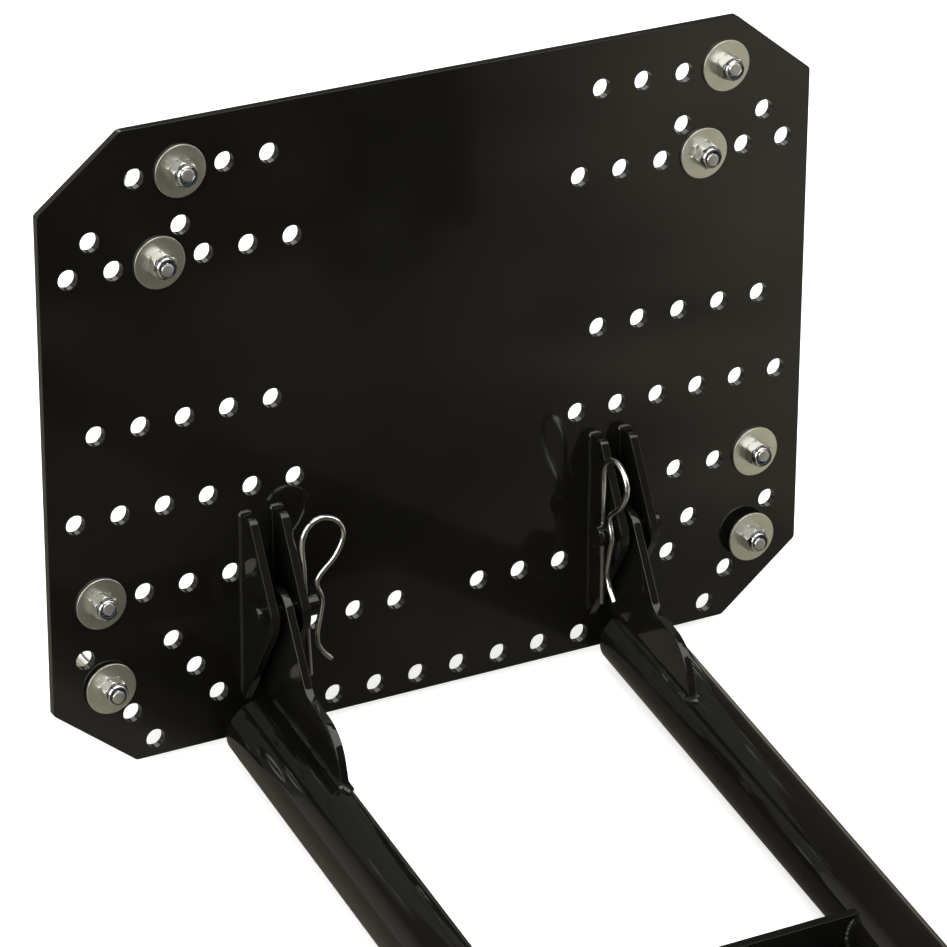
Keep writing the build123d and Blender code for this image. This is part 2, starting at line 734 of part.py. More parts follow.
def build():
    nodes = {
        "mount_plate": mount_plate(),
        "plate_washers": plate_washers(),
        "plate_nuts": plate_nuts(),
        "nut_inserts": nut_inserts(),
        "rear_crossmember": crossmember(REAR_CROSS_Y),
        "front_crossmember": crossmember(FRONT_CROSS_Y),
        "tube_caps": tube_caps(),
        "bed_plate": bed_plate(),
        "thrust_washer": thrust_washer(),
        "kingpin": kingpin(),
        "kingpin_nut": kingpin_nut(),
        "lift_lug": lift_lug(),
        "swivel_plate": swivel_plate(),
        "swivel_beam": swivel_beam(),
        "trip_pins": [trip_pin(side) for _, side in SIDES],
        "trip_cotters": trip_cotters(),
        "lock_housing": lock_housing(),
        "lock_pin": lock_pin(),
        "lock_spring": lock_spring(),
        "moldboard": moldboard(),
        "top_brace": top_brace(),
        "spring_tabs": [spring_tab(side) for _, side in SIDES],
        "wear_bar": wear_bar(),
        "wear_bolts": wear_bolts(),
        "wear_nuts": wear_nuts(),
    }
    nodes.update({name: ubolt(legs) for name, legs in UBOLTS.items()})
    for name, side in SIDES:
        nodes[f"ear_{name}_inner"] = ear(side * EAR_X[0])
        nodes[f"ear_{name}_outer"] = ear(side * EAR_X[1])
        nodes[f"clevis_pin_{name}"] = clevis_pin(side)
        nodes[f"hairpin_{name}"] = hairpin(side)
        nodes[f"push_tube_{name}"] = push_tube(side)
        nodes[f"tongue_{name}"] = tongue(side)
        nodes[f"hinge_bracket_{name}"] = hinge_bracket(side)
        nodes[f"spring_post_{name}"] = spring_post(side)
        nodes[f"trip_spring_{name}"] = trip_spring(side)
        nodes[f"rib_{name}_inner"] = rib(side * TRIP_X, True)
        nodes[f"rib_{name}_outer"] = rib(side * OUTER_RIB_X, False)
        nodes[f"skid_bracket_{name}"] = skid_bracket(side)
        nodes[f"skid_shoe_{name}"] = skid_shoe(side)
        nodes[f"skid_washers_{name}"] = skid_washers(side)
        nodes[f"linch_pin_{name}"] = linch_pin(side)
    return nodes


def placed(nodes):
    """Moves the plow along Y so that Y = 0 is the middle of its length."""
    shapes = {name: Compound(piece) if isinstance(piece, list) else piece for name, piece in nodes.items()}
    boxes = [shape.bounding_box() for shape in shapes.values()]
    middle = (min(box.min.Y for box in boxes) + max(box.max.Y for box in boxes)) / 2
    return {name: Pos(0, -middle, 0) * shape for name, shape in shapes.items()}, middle


def main():
    os.makedirs("parts", exist_ok=True)
    shapes, middle = placed(build())
    for name, shape in shapes.items():
        export_step(shape, f"parts/{name}.step")
    print(f"{len(shapes)} nodes, hinge pins at y = {-middle:.3f}")


main()
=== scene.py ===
"""The looks of a quad bike's snow plow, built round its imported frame.

Metres, in the frame's own axes: +Z up, -Y forward towards the blade, +X across the plow.
"""
import json
import math
import random

import bmesh
import bpy
from mathutils import Matrix, Vector, noise


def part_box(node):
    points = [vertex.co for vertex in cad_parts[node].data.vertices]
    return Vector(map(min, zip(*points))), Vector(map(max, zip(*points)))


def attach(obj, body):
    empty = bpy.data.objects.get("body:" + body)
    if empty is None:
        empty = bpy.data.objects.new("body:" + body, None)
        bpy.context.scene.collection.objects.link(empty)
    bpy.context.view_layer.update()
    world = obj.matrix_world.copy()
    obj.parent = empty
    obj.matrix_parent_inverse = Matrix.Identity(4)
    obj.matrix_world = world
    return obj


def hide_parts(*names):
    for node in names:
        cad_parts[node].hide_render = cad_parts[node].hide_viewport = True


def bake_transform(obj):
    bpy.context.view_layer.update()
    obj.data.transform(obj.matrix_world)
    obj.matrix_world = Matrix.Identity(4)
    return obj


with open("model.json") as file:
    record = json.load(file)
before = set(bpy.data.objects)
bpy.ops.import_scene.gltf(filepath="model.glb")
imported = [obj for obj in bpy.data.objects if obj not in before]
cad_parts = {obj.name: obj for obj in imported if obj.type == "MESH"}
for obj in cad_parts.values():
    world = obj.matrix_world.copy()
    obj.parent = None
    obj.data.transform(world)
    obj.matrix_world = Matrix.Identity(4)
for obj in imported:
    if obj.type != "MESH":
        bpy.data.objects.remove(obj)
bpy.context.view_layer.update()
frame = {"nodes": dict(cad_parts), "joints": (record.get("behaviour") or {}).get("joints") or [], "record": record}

NODES = frame["nodes"]
JOINTS = {joint["name"]: joint for joint in frame["joints"]}
SIDES = (("left", -1), ("right", 1))
MM = 0.001

# The plate's own frame: across, backwards off its face, and up along it.
ACROSS = Vector((1, 0, 0))
PLATE_UP = Vector(JOINTS["clip_right_pull"]["axis"]).normalized()
PLATE_BACK = PLATE_UP.cross(ACROSS)
PIN = Vector(JOINTS["mount_fold"]["pos_m"])
PIN_OFF_PLATE = 21.0 * MM


def axes(origin, x, y, z):
    """The matrix that carries local axes to x, y and z at origin."""
    turned = Matrix((x, y, z)).transposed().to_4x4()
    turned.translation = origin
    return turned


ON_PIN = axes(PIN, ACROSS, PLATE_BACK, PLATE_UP)


# ---------------------------------------------------------------- camera

CAMERA_AT = Vector((-1.16655, -1.26389, 1.68434))
CAMERA_AIM = Vector((0.02206, 0.57891, 0.12727))
CAMERA_ROLL = 7.561
CAMERA_LENS = 190.07


def add_camera():
    data = bpy.data.cameras.new("camera")
    data.lens = CAMERA_LENS
    data.clip_start, data.clip_end = 0.05, 60.0
    camera = bpy.data.objects.new("camera", data)
    look = (CAMERA_AIM - CAMERA_AT).to_track_quat("-Z", "Y").to_matrix().to_4x4()
    roll = Matrix.Rotation(math.radians(CAMERA_ROLL), 4, "Z")
    camera.matrix_world = Matrix.Translation(CAMERA_AT) @ look @ roll
    bpy.context.scene.collection.objects.link(camera)
    bpy.context.scene.camera = camera


# ---------------------------------------------------------------- materials

class Surface:
    """A material under construction: a principled shader and the textures that feed it."""

    def __init__(self, name, **sockets):
        self.material = bpy.data.materials.new(name)
        self.material.use_nodes = True
        self.tree = self.material.node_tree
        self.shader = self.tree.nodes["Principled BSDF"]
        self.place = self.node("ShaderNodeTexCoord").outputs["Object"]
        for socket, value in sockets.items():
            self.shader.inputs[socket.replace("_", " ")].default_value = value

    def node(self, kind, **settings):
        made = self.tree.nodes.new(kind)
        for key, value in settings.items():
            setattr(made, key, value)
        return made

    def link(self, output, target):
        self.tree.links.new(output, target)

    def feed(self, output, socket):
        self.link(output, self.shader.inputs[socket])

    def stretched(self, x, y, z):
        """Object coordinates scaled unevenly, for brushed or streaky patterns."""
        mapping = self.node("ShaderNodeMapping")
        mapping.inputs["Scale"].default_value = (x, y, z)
        self.link(self.place, mapping.inputs["Vector"])
        return mapping.outputs["Vector"]

    def noise(self, scale, detail=3.0, rough=0.5, place=None):
        made = self.node("ShaderNodeTexNoise")
        made.inputs["Scale"].default_value = scale
        made.inputs["Detail"].default_value = detail
        made.inputs["Roughness"].default_value = rough
        self.link(place or self.place, made.inputs["Vector"])
        return made.outputs["Fac"]

    def cells(self, scale):
        made = self.node("ShaderNodeTexVoronoi")
        made.inputs["Scale"].default_value = scale
        self.link(self.place, made.inputs["Vector"])
        return made.outputs["Distance"]

    def spread(self, value, low, high, start=0.3, end=0.7):
        """Maps a texture's middle range to low...high."""
        made = self.node("ShaderNodeMapRange")
        sockets = ("From Min", "From Max", "To Min", "To Max")
        for socket, number in zip(sockets, (start, end, low, high)):
            made.inputs[socket].default_value = number
        self.link(value, made.inputs["Value"])
        return made.outputs["Result"]

    def maths(self, operation, first, second):
        made = self.node("ShaderNodeMath", operation=operation)
        for socket, value in zip(made.inputs, (first, second)):
            if isinstance(value, float):
                socket.default_value = value
            else:
                self.link(value, socket)
        return made.outputs[0]

    def height(self):
        parts = self.node("ShaderNodeSeparateXYZ")
        self.link(self.place, parts.inputs[0])
        return parts.outputs["Z"]

    def ramp(self, value, *stops):
        made = self.node("ShaderNodeValToRGB")
        elements = made.color_ramp.elements
        while len(elements) < len(stops):
            elements.new(0.5)
        for element, (position, colour) in zip(elements, stops):
            element.position = position
            element.color = (*colour, 1)
        self.link(value, made.inputs["Fac"])
        return made.outputs["Color"]

    def painted_reflection_glow(self, colour):
        """A painted reflection: glossy rays see this colour glowing here instead of the lit surface."""
        glow = self.node("ShaderNodeEmission")
        self.link(colour, glow.inputs["Color"])
        mix = self.node("ShaderNodeMixShader")
        self.link(self.node("ShaderNodeLightPath").outputs["Is Glossy Ray"], mix.inputs["Fac"])
        self.link(self.shader.outputs[0], mix.inputs[1])
        self.link(glow.outputs[0], mix.inputs[2])
        self.link(mix.outputs[0], self.tree.nodes["Material Output"].inputs["Surface"])
        self.material.cycles.emission_sampling = "NONE"

    def bumps(self, *layers):
        """Each layer is (texture, depth in metres)."""
        normal = None
        for texture, depth in layers:
            made = self.node("ShaderNodeBump")
            made.inputs["Distance"].default_value = depth
            self.link(texture, made.inputs["Height"])
            if normal:
                self.link(normal, made.inputs["Normal"])
            normal = made.outputs["Normal"]
        self.feed(normal, "Normal")


PEEL_DEPTH = 0.000006


def powder_coat(name, dark, light, rough_low, rough_high):
    """Sprayed and baked gloss: a soft orange peel and slow changes in gloss and tone."""
    coat = Surface(name, Specular_IOR_Level=0.42, Coat_Weight=0.0)
    patches = coat.noise(9.0, 4.0, 0.6)
    coat.feed(coat.ramp(patches, (0.3, dark), (0.7, light)), "Base Color")
    coat.feed(coat.spread(coat.noise(26.0, 3.0), rough_low, rough_high), "Roughness")
    coat.bumps((coat.noise(260.0, 2.0), PEEL_DEPTH))
    return coat.material


def plated(name, dark, light, rough_low, rough_high, grain):
    """Bright zinc: softly clouded tone and gloss, with fine drawn scratches."""
    zinc = Surface(name, Metallic=1.0)
    clouds = zinc.noise(70.0, 4.0, 0.55)
    zinc.feed(zinc.ramp(clouds, (0.28, dark), (0.72, light)), "Base Color")
    streaks = zinc.noise(900.0, 3.0, 0.6, zinc.stretched(1.0, 0.18, 1.0))
    zinc.feed(zinc.spread(streaks, rough_low, rough_high), "Roughness")
    zinc.bumps((streaks, grain))
    return zinc.material


def nylon():
    ring = Surface("nylon", Specular_IOR_Level=0.5)
    blues = ring.ramp(ring.noise(500.0), (0.3, (0.006, 0.012, 0.03)), (0.7, (0.014, 0.03, 0.07)))
    ring.feed(blues, "Base Color")
    ring.feed(ring.spread(ring.noise(700.0), 0.3, 0.5), "Roughness")
    ring.bumps((ring.noise(2500.0), 0.00003))
    return ring.material


def moulded():
    cap = Surface("moulded_plastic")
    blacks = cap.ramp(cap.noise(60.0), (0.3, (0.012, 0.012, 0.012)), (0.7, (0.022, 0.022, 0.021)))
    cap.feed(blacks, "Base Color")
    cap.feed(cap.spread(cap.noise(90.0), 0.42, 0.6), "Roughness")
    cap.bumps((cap.cells(1500.0), 0.00008))
    return cap.material


def painted_iron():
    iron = Surface("painted_iron")
    tone = iron.noise(40.0, 5.0)
    paint = iron.ramp(tone, (0.3, (0.009, 0.009, 0.008)), (0.7, (0.022, 0.021, 0.019)))
    iron.feed(paint, "Base Color")
    iron.feed(iron.spread(iron.noise(110.0, 4.0), 0.3, 0.52), "Roughness")
    iron.bumps((iron.noise(260.0, 5.0, 0.65), 0.0007), (iron.noise(1200.0, 3.0), 0.0002))
    return iron.material


def edge_steel():
    """Black coat over steel, ground bare in flecks near the cutting edge."""
    steel = Surface("edge_steel")
    low_down = steel.spread(steel.height(), 0.5, 0.0, 0.008, 0.02)
    worn = steel.maths("ADD", low_down, steel.noise(320.0, 5.0, 0.7))
    bare = steel.spread(worn, 0.0, 1.0, 0.93, 0.99)
    tone = steel.noise(50.0, 4.0)
    black = steel.ramp(tone, (0.3, (0.006, 0.0058, 0.0052)), (0.7, (0.014, 0.0135, 0.012)))
    mix = steel.node("ShaderNodeMix", data_type="RGBA")
    steel.link(bare, mix.inputs["Factor"])
    steel.link(black, mix.inputs["A"])
    ground = steel.ramp(tone, (0.3, (0.3, 0.29, 0.27)), (0.7, (0.5, 0.49, 0.46)))
    steel.link(ground, mix.inputs["B"])
    steel.feed(mix.outputs["Result"], "Base Color")
    steel.feed(bare, "Metallic")
    steel.feed(steel.spread(steel.noise(60.0), 0.2, 0.36), "Roughness")
    steel.bumps((steel.noise(420.0, 2.0), 0.0001))
    return steel.material


MATERIALS = {
    "black_coat": powder_coat(
        "black_coat", (0.0032, 0.003, 0.0026), (0.0058, 0.0054, 0.0045), 0.05, 0.1),
    "weld_coat": powder_coat(
        "weld_coat", (0.0034, 0.0032, 0.0028), (0.006, 0.0056, 0.0048), 0.06, 0.12),
    "zinc": plated("zinc", (0.64, 0.64, 0.625), (0.84, 0.84, 0.82), 0.14, 0.24, 0.000008),
    "washer_zinc": plated(
        "washer_zinc", (0.68, 0.68, 0.60), (0.80, 0.80, 0.72), 0.3, 0.38, 0.000004),
    "spring_steel": plated(
        "spring_steel", (0.38, 0.38, 0.37), (0.66, 0.66, 0.64), 0.2, 0.36, 0.00003),
    "nut_zinc": plated("nut_zinc", (0.46, 0.465, 0.46), (0.66, 0.665, 0.655), 0.1, 0.17, 0.000005),
    "cut_zinc": plated("cut_zinc", (0.42, 0.42, 0.41), (0.6, 0.6, 0.58), 0.42, 0.55, 0.00001),
    "nylon": nylon(),
    "cap_plastic": moulded(),
    "wear_steel": edge_steel(),
    "shoe_iron": painted_iron(),
}


# ---------------------------------------------------------------- mesh work

ONE_CORNER = 1e-6               # metres; corners no farther apart than this are the same
CRISP = math.radians(38)        # a sharper edge than this isn't shaded smooth


def solids(node):
    """The corners of each separate solid of a CAD node, always in the same order."""
    mesh = bmesh.new()
    mesh.from_mesh(NODES[node].data)
    bmesh.ops.remove_doubles(mesh, verts=mesh.verts, dist=ONE_CORNER)
    mesh.verts.index_update()
    seen, found = set(), []
    for first in mesh.verts:
        if first.index in seen:
            continue
        seen.add(first.index)
        reached, todo = [], [first]
        while todo:
            corner = todo.pop()
            reached.append(corner.co.copy())
            for other in [edge.other_vert(corner) for edge in corner.link_edges]:
                if other.index not in seen:
                    seen.add(other.index)
                    todo.append(other)
        found.append(reached)
    mesh.free()
    return found


def middle(points):
    return Vector(((min(p[i] for p in points) + max(p[i] for p in points)) / 2 for i in range(3)))


def add_piece(name, verts, faces, material, body, *nodes):
    """Makes a smooth mesh piece that rides on a body and stands for the given CAD nodes."""
    mesh = bpy.data.meshes.new(name)
    mesh.from_pydata([tuple(v) for v in verts], [], faces)
    mesh.validate()
    mesh.materials.append(MATERIALS[material])
    mesh.polygons.foreach_set("use_smooth", [True] * len(mesh.polygons))
    mesh.set_sharp_from_angle(angle=CRISP)
    piece = bpy.data.objects.new(name, mesh)
    bpy.context.scene.collection.objects.link(piece)
    if body:
        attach(piece, body)
    if nodes:
        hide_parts(*nodes)
    return piece


def joined(parts):
    """One list of corners and faces from several."""
    verts, faces = [], []
    for some_verts, some_faces in parts:
        base = len(verts)
        verts += some_verts
        faces += [tuple(i + base for i in face) for face in some_faces]
    return verts, faces


def loft(rings, closed=False):
    """Skins rings of equal length; open lofts are capped at both ends."""
    count = len(rings[0])
    verts = [corner for ring in rings for corner in ring]
    spans = len(rings) if closed else len(rings) - 1
    faces = []
    for i in range(spans):
        a, b = i * count, (i + 1) % len(rings) * count
        faces += [(a + j, a + (j + 1) % count, b + (j + 1) % count, b + j) for j in range(count)]
    if not closed:
        last = (len(rings) - 1) * count
        faces.append(tuple(reversed(range(count))))
        faces.append(tuple(range(last, last + count)))
    return verts, faces


def lathe(place, profile, steps=48, closed=False):
    """Turns (radius, height) points about the local Z axis."""
    turns = [2 * math.pi * j / steps for j in range(steps)]
    rings = []
    for r, z in profile:
        rings.append([place @ Vector((r * math.cos(t), r * math.sin(t), z)) for t in turns])
    return loft(rings, closed)


def headings(path):
    """A pair of directions across the path at each of its points, without twist."""
    count = len(path)
    along = [(path[min(i + 1, count - 1)] - path[max(i - 1, 0)]).normalized() for i in range(count)]
    side = along[0].orthogonal().normalized()
    pairs = []
    for direction in along:
        side = (side - direction * side.dot(direction)).normalized()
        pairs.append((side, direction.cross(side)))
    return pairs


def wire(path, radius, sides=14, shape=None):
    """A round bar along a path with softened ends; shape(distance, angle) may change its radius."""
    gone, total = [0.0], 0.0
    for a, b in zip(path, path[1:]):
        total += (b - a).length
        gone.append(total)
    rings = []
    for point, distance, (side, other) in zip(path, gone, headings(path)):
        ring = []
        for j in range(sides):
            angle = 2 * math.pi * j / sides
            reach = radius * (shape(distance, angle) if shape else 1.0)
            ring.append(point + side * reach * math.cos(angle) + other * reach * math.sin(angle))
        rings.append(ring)
    return loft([shrunk(rings[0], 0.72), *rounded(path, rings, radius), shrunk(rings[-1], 0.72)])


def shrunk(ring, share):
    centre = sum(ring, Vector()) / len(ring)
    return [centre + (corner - centre) * share for corner in ring]


def rounded(path, rings, radius):
    """Moves the end rings in a little, so that the bar's ends are chamfered."""
    inset = radius * 0.28
    first = (path[1] - path[0]).normalized() * inset
    last = (path[-2] - path[-1]).normalized() * inset
    return [[c + first for c in rings[0]], *rings[1:-1], [c + last for c in rings[-1]]]


def arc(centre, start, other, begin, end, steps):
    """Points on an ellipse arc about centre, from angle begin to end in degrees."""
    points = []
    for i in range(steps + 1):
        angle = math.radians(begin + (end - begin) * i / steps)
        points.append(centre + start * math.cos(angle) + other * math.sin(angle))
    return points


def line(start, end, step):
    count = max(1, round((end - start).length / step))
    return [start.lerp(end, i / count) for i in range(count + 1)]


def smooth_path(points, per_span):
    """A Catmull-Rom curve through points."""
    padded = [points[0] * 2 - points[1], *points, points[-1] * 2 - points[-2]]
    path = []
    for p0, p1, p2, p3 in zip(padded, padded[1:], padded[2:], padded[3:]):
        for i in range(per_span):
            t = i / per_span
            squared = (p0 * 2 - p1 * 5 + p2 * 4 - p3) * t**2
            cubed = (p1 * 3 - p0 - p2 * 3 + p3) * t**3
            path.append((p1 * 2 + (p2 - p0) * t + squared + cubed) / 2)
    return [*path, points[-1]]


# ---------------------------------------------------------------- CAD nodes that keep their shape

PLAIN_EDGE = 0.5                # millimetres
EDGE = {                        # millimetres, by the start of a node's name
    "mount_plate": 0.25, "ear_": 0.7, "tongue_": 0.7, "push_tube_": 0.8, "skid_shoe_": 1.0,
    "plate_washers": 0.3, "trip_cotters": 0.1, "linch_pin_": 0.15,
}
LEAST_EDGE = 0.08 * MM
NARROWER = 0.8                  # each time a face folds, the edge becomes this share as wide
SHARP = math.radians(32)
FLAT = math.radians(0.5)
KEEPS_TRIANGLES = ("ear_", "tongue_", "skid_shoe_", "trip_pins")    # their merged faces would fold
FOLD = 0.2                      # cosine past which a triangle counts as turned over
FOLD_AREA = 0.15 * MM**2


def folded_area(part):
    """How much of the finished mesh lies the wrong way round in its own faces, in square metres."""
    finished = part.evaluated_get(bpy.context.evaluated_depsgraph_get())
    mesh = finished.to_mesh()
    mesh.calc_loop_triangles()
    folded = sum(
        triangle.area for triangle in mesh.loop_triangles
        if triangle.normal.dot(mesh.polygons[triangle.polygon_index].normal) < -FOLD
    )
    finished.to_mesh_clear()
    return folded


def dress(node, material):
    """Gives a CAD node its material, edges rounded as far as no face folds, and clean shading."""
    part = NODES[node]
    part.data.materials.clear()
    part.data.materials.append(MATERIALS[material])
    part.data.polygons.foreach_set("use_smooth", [True] * len(part.data.polygons))
    weld = part.modifiers.new("weld", "WELD")
    weld.merge_threshold = ONE_CORNER
    if not node.startswith(KEEPS_TRIANGLES):
        flat = part.modifiers.new("flat", "DECIMATE")
        flat.decimate_type = "DISSOLVE"
        flat.angle_limit = FLAT
    round_off = part.modifiers.new("edges", "BEVEL")
    widths = [width for start, width in EDGE.items() if node.startswith(start)]
    round_off.width = (widths or [PLAIN_EDGE])[0] * MM
    round_off.segments = 2
    round_off.angle_limit = SHARP
    round_off.use_clamp_overlap = False
    while folded_area(part) > FOLD_AREA and round_off.width > LEAST_EDGE:
        round_off.width *= NARROWER
    part.modifiers.new("shading", "WEIGHTED_NORMAL").keep_sharp = False


# ---------------------------------------------------------------- studs, nuts and washers

ROD_R = 3.95 * MM
THREAD_PITCH = 1.25 * MM
THREAD_DEPTH = 0.11
THREAD_BEHIND = 20.0 * MM
UBOLT_REACH = 34.0 * MM
STUD_END = [(0.02, -0.4), (3.0, -0.4), (3.3, -0.1), (3.1, 0.05), (2.4, 0.13), (0.02, 0.15)]
NUT_R = 6.35 * MM               # half the width across its flats
NUT_H = 6.4 * MM
NUT_CHAMFER = 0.55 * MM
NUT_STEPS = 96
COLLAR_R = 5.9 * MM
COLLAR_H = 2.4 * MM


def thread(distance, angle):
    """The rod's radius along a thread, as a share of its full radius."""
    turn = distance / THREAD_PITCH - angle / (2 * math.pi)
    return 1 - THREAD_DEPTH * (0.5 + 0.5 * math.cos(2 * math.pi * turn))


def ubolt(node):
    """Rod bent into a U, its legs threaded from the tips to just behind the plate."""
    inner = ON_PIN.inverted()
    corners = [inner @ corner for corner in solids(node)[0]]
    tips = []
    across = sorted(corners, key=lambda c: c.z)
    for some in (across[: len(across) // 8], across[-len(across) // 8:]):
        leg = [c for c in some if c.y < PIN_OFF_PLATE]
        tips.append(Vector((middle(leg).x, min(c.y for c in leg), middle(leg).z)))
    first, second = tips
    bend_y = PIN_OFF_PLATE + UBOLT_REACH
    centre = Vector(((first.x + second.x) / 2, bend_y, (first.z + second.z) / 2))
    reach = Vector((first.x, bend_y, first.z)) - centre
    back = Vector((0, reach.length, 0))
    fine = THREAD_PITCH / 6
    end_y = PIN_OFF_PLATE + THREAD_BEHIND
    legs = []
    for tip in tips:
        turn_y = Vector((tip.x, end_y, tip.z))
        bend = Vector((tip.x, bend_y, tip.z))
        legs.append(line(tip, turn_y, fine)[:-1] + line(turn_y, bend, 4 * MM)[:-1])
    path = legs[0] + arc(centre, reach, back, 0, 180, 28) + legs[1][::-1]
    total = sum((b - a).length for a, b in zip(path, path[1:]))
    spans = [end_y - tip.y for tip in tips]

    def shape(distance, angle):
        if distance < spans[0] or distance > total - spans[1]:
            return thread(distance, angle)
        return 1.0 - THREAD_DEPTH * 0.35

    verts, faces = wire([ON_PIN @ p for p in path], ROD_R, 20, shape)
    add_piece(f"{node}_rod", verts, faces, "zinc", "mount", node)
    return tips


def off_plate(point):
    """A frame at a point in the plate's own coordinates, with Z forward off the plate's face."""
    return ON_PIN @ Matrix.Translation(point) @ Matrix.Rotation(math.pi / 2, 4, "X")


def add_studs():
    """The U-bolts, and the sawn ends of their legs."""
    ends = []
    for node in [name for name in NODES if name.startswith("ubolt")]:
        for tip in ubolt(node):
            ends.append(lathe(off_plate(tip), [(r * MM, z * MM) for r, z in STUD_END], 32))
    add_piece("stud_ends", *joined(ends), "cut_zinc", "mount")


def nut_at(place):
    """A chamfered hexagon that rises into a rolled collar, with the bore open."""
    bore = ROD_R + 0.05 * MM
    corner_r = NUT_R / math.cos(math.pi / 6)

    def hexagon(angle):
        folded = (angle + math.pi / 6) % (math.pi / 3) - math.pi / 6
        return NUT_R / math.cos(folded)

    def ring(z, radius=None, limit=0.0):
        """A circle, or without a radius the hexagon cut down to the chamfer cone's limit."""
        corners = []
        for j in range(NUT_STEPS):
            angle = 2 * math.pi * j / NUT_STEPS
            reach = radius if radius is not None else min(hexagon(angle), limit)
            corners.append(place @ Vector((reach * math.cos(angle), reach * math.sin(angle), z)))
        return corners

    def chamfered(z, share):
        """The hexagon at a share of the way from its flats' circle to its corners' circle."""
        return ring(z, limit=NUT_R + (corner_r - NUT_R) * share)

    rings = [ring(0.0, bore), ring(0.0, bore + 1.0 * MM), ring(0.0, limit=NUT_R * 0.99)]
    rings += [chamfered(NUT_CHAMFER * share, share) for share in (0.25, 0.6, 1.0)]
    rings += [chamfered(NUT_H - NUT_CHAMFER * share, share) for share in (1.0, 0.6, 0.25, 0.0)]
    crown = [
        (COLLAR_R + 0.15 * MM, NUT_H + 0.05 * MM),
        (COLLAR_R, NUT_H + 0.35 * MM),
        (COLLAR_R - 0.02 * MM, NUT_H + COLLAR_H * 0.55),
        (COLLAR_R - 0.25 * MM, NUT_H + COLLAR_H * 0.85),
        (COLLAR_R - 0.75 * MM, NUT_H + COLLAR_H),
        (COLLAR_R - 1.15 * MM, NUT_H + COLLAR_H * 0.97),
        (COLLAR_R - 1.25 * MM, NUT_H + COLLAR_H * 0.8),
        (COLLAR_R - 1.25 * MM, NUT_H + 0.1 * MM),
        (bore, NUT_H + 0.1 * MM),
    ]
    rings += [ring(z, radius) for radius, z in crown]
    return loft(rings, closed=True)


def insert_at(place):
    """The nylon ring that shows inside the collar."""
    outer, bore = COLLAR_R - 1.27 * MM, ROD_R - 0.1 * MM
    top, low = NUT_H + COLLAR_H * 0.86, NUT_H + 0.12 * MM
    soft = 0.25 * MM
    shoulders = [(outer, top - soft), (outer - soft, top), (bore + soft, top), (bore, top - soft)]
    return lathe(place, [(bore, low), (outer, low), *shoulders], closed=True)


def add_nuts():
    nuts, rings = [], []
    turner = random.Random(8)
    for solid in solids("plate_nuts"):
        inner = ON_PIN.inverted()
        local = [inner @ corner for corner in solid]
        centre = middle(local)
        seat = max(c.y for c in local)
        turned = Matrix.Rotation(turner.uniform(0, math.pi / 3), 4, "Z")
        place = off_plate((centre.x, seat, centre.z)) @ turned
        nuts.append(nut_at(place))
        rings.append(insert_at(place))
    add_piece("lock_nuts", *joined(nuts), "nut_zinc", "mount", "plate_nuts")
    add_piece("lock_nut_rings", *joined(rings), "nylon", "mount", "nut_inserts")


# ---------------------------------------------------------------- hairpins

CLIP_R = 1.55 * MM
CLIP_OFF = 90.9 * MM
CLIP_TILT = 3.0
CLIP_BENDS = [                  # millimetres: towards the bent leg, and up the straight leg
    (0, -42), (0, -20), (0, 0), (0, 20), (0, 36.5), (4.4, 45.1), (12.2, 48.1), (21.0, 44.1),
    (24.4, 35.0), (18.9, 24.0), (7.4, 12.6), (9.6, 0), (5.4, -19.5), (7.4, -28.5), (13.2, -36.0),
]


def add_hairpins():
    for name, side in SIDES:
        toward = ACROSS if side < 0 else -PLATE_BACK
        up = PLATE_UP
        if side < 0:
            tilt = math.radians(CLIP_TILT)
            turned = toward * math.cos(tilt) + up * math.sin(tilt)
            up = up * math.cos(tilt) - toward * math.sin(tilt)
            toward = turned
        centre = PIN + ACROSS * side * CLIP_OFF
        bends = [centre + toward * u * MM + up * v * MM for u, v in CLIP_BENDS]
        verts, faces = wire(smooth_path(bends, 14), CLIP_R, 18)
        add_piece(f"hairpin_{name}_wire", verts, faces, "zinc", f"clip_{name}", f"hairpin_{name}")


# ---------------------------------------------------------------- springs

COIL_WIRE_R = 2.5 * MM
COIL_R = 14.5 * MM
EYE_R = 11.0 * MM
COIL_END = 26.0 * MM            # left free at each end for the loop
COIL_STEPS = 26                 # corners of the path in each turn
LOCK_WIRE_R = 0.9 * MM
LOCK_TURNS = 6.5
LOCK_STEPS = 24


def trip_spring(name):
    """Extension spring: close-wound coil with a full loop at each end."""
    node = f"trip_spring_{name}"
    low, high = spring_ends(node)
    along = (high - low).normalized()
    span = (high - low).length
    out = ACROSS
    other = along.cross(out)
    pitch = 2 * COIL_WIRE_R * 1.06
    turns = math.floor((span - 2 * COIL_END) / pitch)
    start = (span - turns * pitch) / 2
    coil = []
    for i in range(turns * COIL_STEPS + 1):
        angle = 2 * math.pi * i / COIL_STEPS
        turned = out * COIL_R * math.cos(angle) + other * COIL_R * math.sin(angle)
        coil.append(low + along * (start + pitch * i / COIL_STEPS) + turned)
    lower = loop(low + along * EYE_R, -along, other, coil[0])
    upper = loop(high - along * EYE_R, along, other, coil[-1])
    path = lower[::-1] + coil + upper
    verts, faces = wire(path, COIL_WIRE_R, 12)
    piece = add_piece(f"{node}_coil", verts, faces, "spring_steel", None, node)
    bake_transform(piece)


def spring_ends(node):
    """The middles of a spring's two end faces."""
    corners = solids(node)[0]
    lowest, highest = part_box(node)
    x = (lowest.x + highest.x) / 2
    ends = []
    for pick in (min, max):
        tip = pick(corners, key=lambda c: c.z)
        ends.append(Vector((x, tip.y, tip.z)))
    return ends


def loop(centre, away, across, leave):
    """From a coil's last turn over to a full loop whose plane holds the spring's axis."""
    ring = arc(centre, -away * EYE_R, across * EYE_R, 20, 340, 30)
    blend = []
    for t in (0.25, 0.5, 0.75):
        blend.append(leave.lerp(ring[0], t) + away * 2.0 * MM * math.sin(math.pi * t))
    return blend + ring


